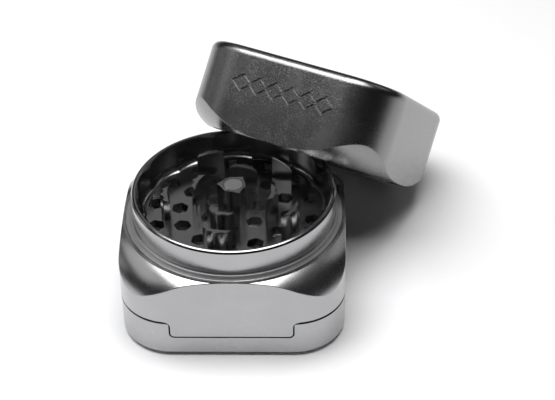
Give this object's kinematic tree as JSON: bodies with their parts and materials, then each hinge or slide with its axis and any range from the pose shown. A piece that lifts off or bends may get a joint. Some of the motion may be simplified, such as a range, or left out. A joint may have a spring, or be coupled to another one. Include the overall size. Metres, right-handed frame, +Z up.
{
  "type": "herb grinder",
  "caption": "Square machined-aluminium herb grinder with rounded corners, a toothed round chamber and a magnetic lid that leans open against it.",
  "frame": {"origin": "centre of the base tray's resting face", "axes": "+Z up through the grinding chamber, -Y towards the front tab"},
  "size_m": [0.0833, 0.0988, 0.0523],
  "materials": {
    "body_aluminium": "satin",
    "lid_aluminium": "satin",
    "chamber_aluminium": "satin",
    "magnet_nickel": "polished",
    "steel": "satin",
    "mesh_steel": "satin",
    "seal_rubber": "matte",
    "ring_plastic": "satin"
  },
  "bodies": {
    "base": {"base_tray": "body_aluminium", "base_magnet_1": "magnet_nickel", "base_magnet_2": "magnet_nickel", "base_magnet_3": "magnet_nickel", "base_magnet_4": "magnet_nickel"},
    "middle": {"middle_body": "body_aluminium", "body_magnet_1": "magnet_nickel", "body_magnet_2": "magnet_nickel", "body_magnet_3": "magnet_nickel", "body_magnet_4": "magnet_nickel", "screen_frame": "steel", "screen_mesh": "mesh_steel", "snap_ring": "steel", "drive_pin_1": "steel", "drive_pin_2": "steel"},
    "chamber": {"chamber_collar": "chamber_aluminium", "chamber_floor": "chamber_aluminium", "chamber_post": "chamber_aluminium", "chamber_tooth_1": "chamber_aluminium", "chamber_tooth_2": "chamber_aluminium", "chamber_tooth_3": "chamber_aluminium", "chamber_tooth_4": "chamber_aluminium", "chamber_tooth_5": "chamber_aluminium", "chamber_tooth_6": "chamber_aluminium", "chamber_tooth_7": "chamber_aluminium", "chamber_tooth_8": "chamber_aluminium", "chamber_tooth_9": "chamber_aluminium", "chamber_magnet": "magnet_nickel", "seal_ring": "seal_rubber"},
    "ring": {"friction_ring": "ring_plastic"},
    "lid": {"lid": "lid_aluminium", "lid_tooth_1": "lid_aluminium", "lid_tooth_2": "lid_aluminium", "lid_tooth_3": "lid_aluminium", "lid_tooth_4": "lid_aluminium", "lid_tooth_5": "lid_aluminium", "lid_tooth_6": "lid_aluminium", "lid_tooth_7": "lid_aluminium", "lid_tooth_8": "lid_aluminium", "lid_tooth_9": "lid_aluminium", "lid_tooth_10": "lid_aluminium", "lid_tooth_11": "lid_aluminium", "lid_tooth_12": "lid_aluminium", "lid_tooth_13": "lid_aluminium", "lid_magnet": "magnet_nickel"}
  },
  "joints": [
    {"name": "body_lift", "type": "slide", "parent": "base", "child": "middle", "axis": [0, 0, 1], "range_m": [0, 0.04]},
    {"name": "chamber_lift", "type": "slide", "parent": "middle", "child": "chamber", "axis": [0, 0, 1], "range_m": [0, 0.025]},
    {"name": "lid_lift", "type": "slide", "parent": "chamber", "child": "ring", "axis": [0.2974, 0.5713, 0.7649], "range_m": [0, 0.05]},
    {"name": "lid_turn", "type": "hinge", "parent": "ring", "child": "lid", "pos_m": [0.0182, 0.03117, 0.01809], "axis": [0.2974, 0.5713, 0.7649], "continuous": true}
  ]
}
